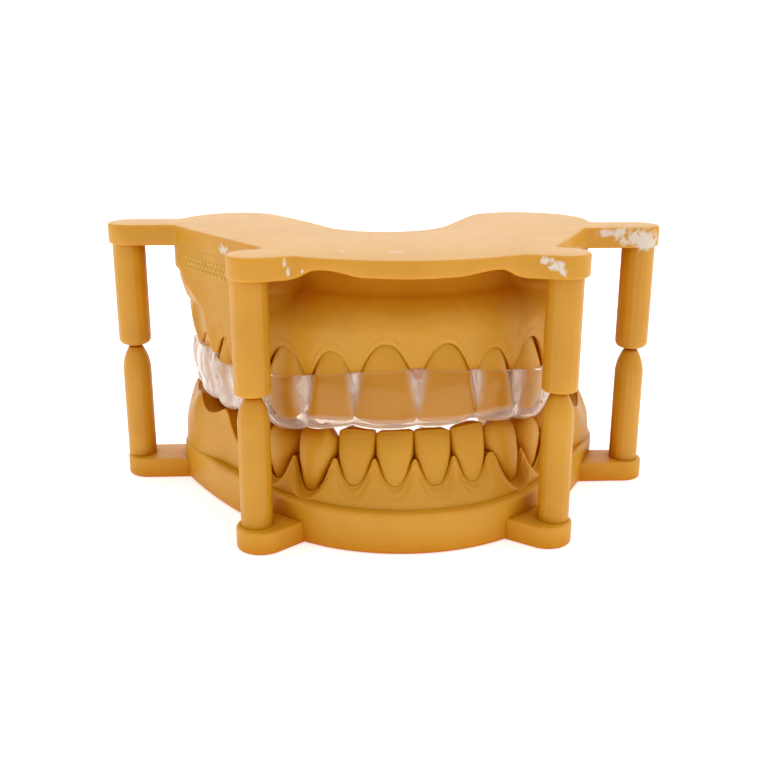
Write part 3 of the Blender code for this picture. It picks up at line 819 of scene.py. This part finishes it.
def add_teeth():
    for word, jaw in (("lower", LOWER_JAW), ("upper", UPPER_JAW)):
        for seed, row in enumerate(spans(jaw[1])):
            node = f"{word}_{row[0]}"
            material = CROWN_RESIN if word == "upper" else CAST_RESIN
            piece(node + "_crown", *crown(word, jaw, row, seed + 40), word + "_cast", material,
                  [node])


# ---------------- gums


def wall(table, corner, s, z):
    """How far out a gum's wall stands at a station and a height. The front's wall turns into
    the side's within the corner."""
    front, side, *rear = curve(table, z)
    forward = front + smooth(abs(s), *corner) * (side - front)
    return forward + (smooth(abs(s), REAR_STARTS, REAR_ENDS) * (rear[0] - side) if rear else 0)


def reach(arch, s, outline, direction):
    """How far the outline is from the arch, outwards (1) or inwards (-1), at each station."""
    start = arch.points(s, 0, 0)[:, :2]
    ray = direction * (arch.points(s, 1, 0)[:, :2] - start)
    a, b = outline, np.roll(outline, -1, axis=0)
    edge = (b - a)[None]
    gap = a[None] - start[:, None]
    cross = ray[:, None, 0] * edge[..., 1] - ray[:, None, 1] * edge[..., 0]
    cross = np.where(abs(cross) < 1e-9, 1e-9, cross)
    distance = (gap[..., 0] * edge[..., 1] - gap[..., 1] * edge[..., 0]) / cross
    along = (gap[..., 0] * ray[:, None, 1] - gap[..., 1] * ray[:, None, 0]) / cross
    hits = (distance > 0) & (along >= 0) & (along <= 1)
    return np.where(hits, distance, FAR).min(axis=1)


def soft_limit(value, limit, softness=0.15):
    """The value, eased so that it never passes the limit."""
    return limit - softness * np.logaddexp(0, (limit - value) / softness)


def margin(jaw, s, shape):
    """The scalloped line where a gum meets the teeth: its height, and how near a station is to
    the gap between two teeth (0 at a tooth's middle, 1 at the gap)."""
    papilla = curve(shape["papilla"], abs(s))[0]
    height, nearness = papilla.copy(), np.ones(len(s))
    for name, _, _, start, end in spans(jaw[1]):
        here = (s >= min(start, end)) & (s <= max(start, end))
        u = (s[here] - (start + end) / 2) / ((end - start) / 2)
        u = abs(u - 1.1 * jaw[5].get(name, 0.0) * (1 - u * u))
        zeniths = shape["zeniths"]
        top = zeniths.get(name, zeniths[name.split("_", 1)[1]])
        rise = np.clip(shape["steepness"] * u ** shape["power"], 0, 1)
        height[here] = top + (papilla[here] - top) * rise
        nearness[here] = u
    return height, nearness


def add_gum(word, jaw, outline, base_z, shape):
    """A gum ridge: up its outer wall, over the rolled margin that hugs each neck, through the
    teeth, and down its inner wall."""
    arch, widths, _, crest = jaw[:4]
    end = sum(widths)
    candidates = np.arange(end - 2, end + 8, 0.05)
    ends = []
    for sign in (-1, 1):
        spots = arch.points(sign * candidates, 0, 0)[:, :2]
        ends.append(candidates[inside(spots, outline)][-1] - 0.02)
    step = 0.2
    s = np.arange(-ends[0], ends[1], step)
    left_end, right_end = (min(end, edge - 1.6) for edge in ends)
    beyond = np.where(s < 0, (-s - left_end) / (ends[0] - left_end),
                      (s - right_end) / (ends[1] - right_end))
    close = np.sqrt(np.clip(1 - np.clip(beyond, 0, 1) ** 6, 0, 1))
    toward = 1 if crest(0) > base_z else -1
    scallop, near = margin(jaw, s, shape)
    near = blur(near, 0.2, step)
    pad = smooth(abs(s), end - 0.3, end + 1.6)
    behind = smooth(abs(s), *shape["rim_starts"])
    rim = np.where(s < 0, *shape["rim"])
    line = crest(s) + blur(scallop * (1 - pad), shape["blur"], step) + rim * behind
    inner_line = crest(s) + blur((0.75 * scallop + 0.6 * toward) * (1 - pad), 0.35, step)
    line = base_z + (line - base_z) * close
    inner_line = base_z + (inner_line - base_z) * close
    inset = 0.06 + shape["inset"] * (1 - 0.85 * smooth(abs(s), 31.0, 39.0))
    room_out = (blur(reach(arch, s, outline, 1), 0.4, step) - inset)[:, None]
    room_in = (blur(reach(arch, s, outline, -1), 0.4, step) - 0.06)[:, None]
    foot = (0.12 + (shape["foot"] - 0.12) * (1 - smooth(abs(s), 29.0, 38.0)))[:, None]

    column, pad, behind, tooth_gap = (row[:, None] for row in (s, pad, behind, near ** 3))
    rise = np.linspace(0, 1, 46)[None, :] ** 0.85

    def side(edge_line, table, between, direction):
        edge_line = edge_line[:, None]
        between = curve(between, abs(column))[0]
        hug = direction * crown_reach(jaw, column, edge_line, direction > 0) + 0.1
        hug = direction * blur(np.maximum(hug, direction * between), 0.3, step)
        edge_out = hug + behind * (shape["rim_out"] - hug) * (direction > 0)
        z = base_z + (edge_line - base_z) * rise
        corner = shape["corner"]
        out = wall(table, corner, column + 0 * z, z)
        out = out + (edge_out - wall(table, corner, column, edge_line)) * smooth(rise, 0.35, 1.0)
        below = abs(edge_line - z)
        collar = np.exp(-((below - 0.5) / 0.42) ** 2) * (1 - pad) * (1 - behind)
        root = (1 - near[:, None] ** 2) * hump(below, 2.5, 4.5) * (1 - pad)
        uneven = waves(7 if direction > 0 else 8, column + 0 * z, z) * smooth(rise, 0.05, 0.3)
        out = out + direction * (shape["collar"] * collar + 0.30 * root + 0.10 * uneven)
        return z, -soft_limit(-soft_limit(out, room_out, foot), room_in)

    z_out, out = side(line, shape["outer_wall"], shape["between_out"], 1)
    z_in, inn = side(inner_line, shape["inner_wall"], shape["between_in"], -1)
    turn = np.linspace(0, pi, 9)[None, 1:]
    roll = 0.2
    aside, lift = roll * (1 - np.cos(turn)), toward * roll * np.sin(turn)
    roll_out, roll_z = out[:, -1:] - aside, z_out[:, -1:] + lift
    roll_in, roll_in_z = inn[:, -1:] + aside, z_in[:, -1:] + lift
    share = np.linspace(0, 1, 22)[None, 1:-1]
    dive = toward * np.sin(pi * share) ** 0.3 * (0.9 * (1 - tooth_gap) * (1 - behind)
                                                 + 0.2 * behind)
    across = roll_out[:, -1:] * (1 - share) + roll_in[:, -1:] * share
    fall = share + behind * (smooth(share, 0.15, 0.5) - share)
    crest_z = roll_z[:, -1:] * (1 - fall) + roll_in_z[:, -1:] * fall - dive
    sections = np.concatenate((out, roll_out, across, roll_in[:, ::-1], inn[:, ::-1]), 1)
    heights = np.concatenate((z_out, roll_z, crest_z, roll_in_z[:, ::-1], z_in[:, ::-1]), 1)
    points = arch.points(column, sections, heights)
    rows, columns = points.shape[:2]
    faces = grid_faces(rows, columns)
    faces += [list(range(columns)), list(range((rows - 1) * columns, rows * columns))]
    piece(word + "_gum_tissue", points.reshape(-1, 3), faces, word + "_cast", CAST_RESIN,
          [word + "_gum"])


# A gum's shape. Heights are above the mean crest: a zenith is the scallop's end at a tooth's
# middle, and a papilla stands between two teeth. Tables go by the distance from the midline. The
# rim is cheek tissue beside the last molars: its height on the left and the right.
UPPER_GUM_SHAPE = {
    "outer_wall": UPPER_OUTER_WALL, "inner_wall": UPPER_INNER_WALL, "corner": (19, 25),
    "between_out": ((0, -0.25), (12, -0.23), (19.6, 0.4), (27, 0.85), (33, 0.9), (41, 1.15),
                    (60, 1.25)),
    "between_in": ((0, -6.2), (12, -6.3), (19.6, -7.1), (27, -8.1), (33, -8.8), (60, -9.2)),
    "papilla": ((0, -3.4), (60, -3.4)),
    "steepness": 1.1, "power": 2.2, "blur": 0.22, "collar": 0.12,
    "rim": (0, 0), "rim_starts": (90, 91), "rim_out": 0, "inset": 0, "foot": 0.15,
    "zeniths": {"central_incisor": 2.5, "lateral_incisor": 1.35, "canine": 2.3,
                "left_canine": 1.6, "first_premolar": 1.7, "second_premolar": 1.5,
                "first_molar": 1.2, "second_molar": 1},
}
LOWER_GUM_SHAPE = {
    "outer_wall": LOWER_OUTER_WALL, "inner_wall": LOWER_INNER_WALL, "corner": (14, 24),
    "between_out": ((0, 1.8), (12, 1.85), (20, 1.8), (27, 1.8), (35, 2.2), (60, 2.4)),
    "between_in": ((0, -2.8), (11, -3.2), (17, -4.8), (24, -6.6), (31, -8), (60, -8.4)),
    "papilla": ((0, 1.6), (5.3, 1.6), (10.8, 1.05), (17.4, 0.3), (24, 0.2), (60, 0.2)),
    "steepness": 1.3, "power": 2.4, "blur": 0.28, "collar": 0.3,
    "rim": (4.4, 3.4), "rim_starts": (21, 33), "rim_out": 5.1, "inset": 1.35, "foot": 0.45,
    "zeniths": {"central_incisor": -2.6, "lateral_incisor": -2.75, "canine": -4.6,
                "first_premolar": -4.2, "second_premolar": -3.2, "first_molar": -1.6,
                "second_molar": -0.8},
}


def add_gums(upper_outline, lower_outline):
    add_gum("upper", UPPER_JAW, upper_outline, PLATE_BOTTOM + 2.0, UPPER_GUM_SHAPE)
    add_gum("lower", LOWER_JAW, lower_outline, LEDGE - 0.6, LOWER_GUM_SHAPE)


# ---------------- aligner


def drape(reached, step, facial):
    """The sheet over the crowns: it bridges the gaps between teeth in shallow grooves."""
    sign = 1 if facial else -1
    value = sign * reached
    window, deepest = int(3.0 / step), 0.85
    padded = np.pad(value, [(window, window), (0, 0)], mode="edge")
    local = np.max([padded[k:k + len(value)] for k in range(2 * window + 1)], axis=0)
    bridged = np.maximum(value, local - deepest)
    groove = np.clip((local - bridged) / deepest, 0, 1)
    covered = np.maximum(blur(bridged, 0.42, step), value + 0.05)
    return sign * blur(covered, 0.15, step), blur(groove, 0.35, step)


# The height of the sheet's underside at each station
SHEET_BOTTOM = ((-46, 14.8), (-34, 15.15), (-23, 15.7), (-17, 15.95), (-14, 16.6), (-9.5, 17.45),
                (-5, 17.4), (0, 17.6), (4.5, 17.75), (8.2, 18.2), (11, 17.5), (15, 16.8),
                (20, 16.0), (26, 15.8), (46, 14.9))


def add_aligner():
    sheet, play, dome, step = 0.7, 0.22, 2.0, 0.22
    end = sum(UPPER_WIDTHS) - 0.9
    s = np.arange(-end, end + step / 2, step)
    column = s[:, None]
    tip, edge = upper_tip(column), aligner_edge(column)
    down = np.linspace(0, 1, 16)[None, :]
    shoulder = tip + 1.1
    z = edge + (shoulder - edge) * down
    drop = 0.3  # the rim is lower on the tongue's side
    facial, groove = drape(crown_reach(UPPER_JAW, column, z, True), step, True)
    lingual, groove_inside = drape(crown_reach(UPPER_JAW, column, z - drop, False), step, False)
    facial, lingual = facial + play, lingual - play
    notch = groove[:, -1:] ** 1.2
    bottom = curve(SHEET_BOTTOM, column)[0]

    turn = np.linspace(0, pi, 25)[None, 1:-1]
    squareness = 2 / (2.3 + 1.5 * smooth(abs(column), 18.0, 28.0))
    round_cos = signed_power(np.cos(turn), squareness)
    round_sin = np.sin(turn) ** squareness

    def section(thick):
        wide_out, wide_in = facial + thick, lingual - thick
        lowest = bottom + 0.45 * (1 - thick / sheet) + 0.35 * notch
        middle = (wide_out[:, -1:] + wide_in[:, -1:]) / 2
        half = (wide_out[:, -1:] - wide_in[:, -1:]) / 2
        out = np.concatenate((wide_out, middle + half * round_cos, wide_in[:, ::-1]), 1)
        height = np.concatenate((z, shoulder - (shoulder - lowest) * round_sin,
                                 z[:, ::-1] - drop), 1)
        return out, height

    outer, outer_z = section(sheet)
    inner, inner_z = section(0.0)
    crinkle = waves(21, column * 3.2 + 0 * outer_z, outer_z * 1.2)
    outer = outer + 0.06 * crinkle * np.sign(outer + 1.0) * (0.3 + notch)

    def around(outside, within, front, back):
        return np.concatenate((outside[:, :1] + front, outside, outside[:, -1:] + back,
                               within[:, ::-1]), 1)

    # The rim between the two faces stands up a little in its middle
    bead = 0.12
    out = around(outer, inner, -sheet / 2, sheet / 2)
    height = around(outer_z, inner_z, bead, bead)
    is_inner = np.arange(out.shape[1]) > 1 + outer.shape[1]
    # The sheet is painted milky in the grooves, under the tips and at the sides: partly its own
    # haze, partly painted highlight for light caught at these ridges and edges
    under = np.repeat(0.2 + 0.3 * notch ** 3, round_sin.shape[1], 1)
    haze_and_highlight = np.concatenate((0.55 * groove ** 5, under, 0.4 * groove_inside[:, ::-1] ** 3), 1)
    haze_and_highlight = haze_and_highlight + 0.4 * smooth(abs(column), 20.0, 25.0)
    # The cut rim is painted milkier still: painted highlight along the edge
    rim = haze_and_highlight[:, :1] + 0.3
    haze_and_highlight = np.concatenate((rim, haze_and_highlight, haze_and_highlight[:, -1:], haze_and_highlight[:, ::-1]), 1)

    # Each end closes in a dome over the back of the last molar
    length = dome - np.where(is_inner, sheet, 0.0)
    angle = np.linspace(0, pi / 2, 12)[1:, None]

    def domed(index, sign):
        mid, top = (out[index].max() + out[index].min()) / 2, height[index].max()
        rows = (s[index] + sign * length * np.sin(angle),
                mid + (out[index] - mid) * np.cos(angle),
                top + (height[index] - top) * np.cos(angle),
                np.repeat(haze_and_highlight[index:][:1], len(angle), 0))
        return [row[::sign] for row in rows]

    middle = np.repeat(column, out.shape[1], 1), out, height, haze_and_highlight
    *place, haze_and_highlight = (np.concatenate(rows) for rows in zip(domed(0, -1), middle,
                                                         domed(len(s) - 1, 1)))
    points = UPPER_ARCH.points(*place)
    piece("clear_aligner_sheet", points.reshape(-1, 3), grid_faces(*points.shape[:2]),
          "aligner", CLEAR, ["clear_aligner"], "clear_plastic", haze_and_highlight.ravel())


# ---------------- raised beads


def add_beads(outline):
    """Three staggered rows of low round beads on the upper cast's left band."""
    points, faces = [], []
    for row, z in enumerate((38.0, 37.2, 36.4)):
        for s in np.arange(-41.5 + 0.55 * (row % 2), -23.0, 1.1):
            flush = reach(UPPER_ARCH, np.array([s]), outline, 1)[0]
            spot = UPPER_ARCH.points(s, flush - 0.06 - 0.17, z)
            ball = bmesh.new()
            bmesh.ops.create_uvsphere(ball, u_segments=14, v_segments=9, radius=0.42)
            ball.verts.index_update()
            start = len(points)
            points += [spot + np.array(v.co) for v in ball.verts]
            faces += [[start + v.index for v in f.verts] for f in ball.faces]
            ball.free()
    piece("upper_left_bead_rows", points, faces, "upper_cast", BEAD_RESIN)


# ---------------- stage


def add_camera():
    data = bpy.data.cameras.new("camera")
    data.lens = 48.13
    data.sensor_width = 36.0
    camera = show("camera", data)
    heading, down, roll = -0.054, 0.299, 0.003
    turn = (Matrix.Rotation(heading, 4, "Z") @ Matrix.Rotation(pi / 2 - down, 4, "X")
            @ Matrix.Rotation(roll, 4, "Z"))
    place = (np.array((-10.63, -136.32, 66.15)) + ORIGIN) * MM
    camera.matrix_world = Matrix.Translation(place) @ turn
    SCENE.camera = camera


def add_light(name, kind, energy, place, toward, **shape):
    data = bpy.data.lights.new(name, kind)
    data.energy = energy
    for key, value in shape.items():
        setattr(data, key, value)
    light = show(name, data)
    light.location = place
    light.rotation_euler = Vector(toward).to_track_quat("-Z", "Y").to_euler()


def add_world():
    """A white studio that lights the front teeth a little less."""
    world = bpy.data.worlds.new("studio")
    world.use_nodes = True
    tree = world.node_tree
    direction = add(tree, "TexCoord").outputs["Generated"]
    back = add(tree, "SeparateXYZ", {"Vector": direction}).outputs["Y"]
    seen = add(tree, "LightPath").outputs["Is Camera Ray"]
    strength = maths(tree, "MAXIMUM", ramp(tree, back, -0.7, 0.1, 0.52, 1.0), seen)
    tree.links.new(strength, tree.nodes["Background"].inputs["Strength"])
    tree.nodes["Background"].inputs["Color"].default_value = (1, 1, 1, 1)
    SCENE.world = world


def add_stage():
    mesh = bpy.data.meshes.new("floor")
    half = 2.0
    mesh.from_pydata([(x * half, y * half, 0) for x, y in ((-1, -1), (1, -1), (1, 1), (-1, 1))],
                     [], [(0, 1, 2, 3)])
    mesh.materials.append(floor_material())
    floor = show("floor", mesh)
    add_world()
    # A soft light from above, a little from the right and the front, and two softboxes
    add_light("overhead_softlight", "SUN", 0.8, (0, 0, 0), (-0.35, 0.35, -1.0),
              angle=radians(80))
    add_light("back_softbox", "AREA", 1.8, (0, 0.9, 0.4), (0, -0.9, -0.4),
              shape="RECTANGLE", size=1.2, size_y=0.5)
    add_light("front_softbox", "AREA", 0.25, (-0.25, -0.55, 0.45), (0.25, 0.55, -0.45),
              shape="RECTANGLE", size=0.4, size_y=0.4)
    SCENE.view_settings.view_transform = "Standard"


def main():
    add_camera()
    add_stage()
    upper, lower = add_bases()
    add_posts()
    add_teeth()
    add_gums(upper, lower)
    add_aligner()
    add_beads(upper)


main()
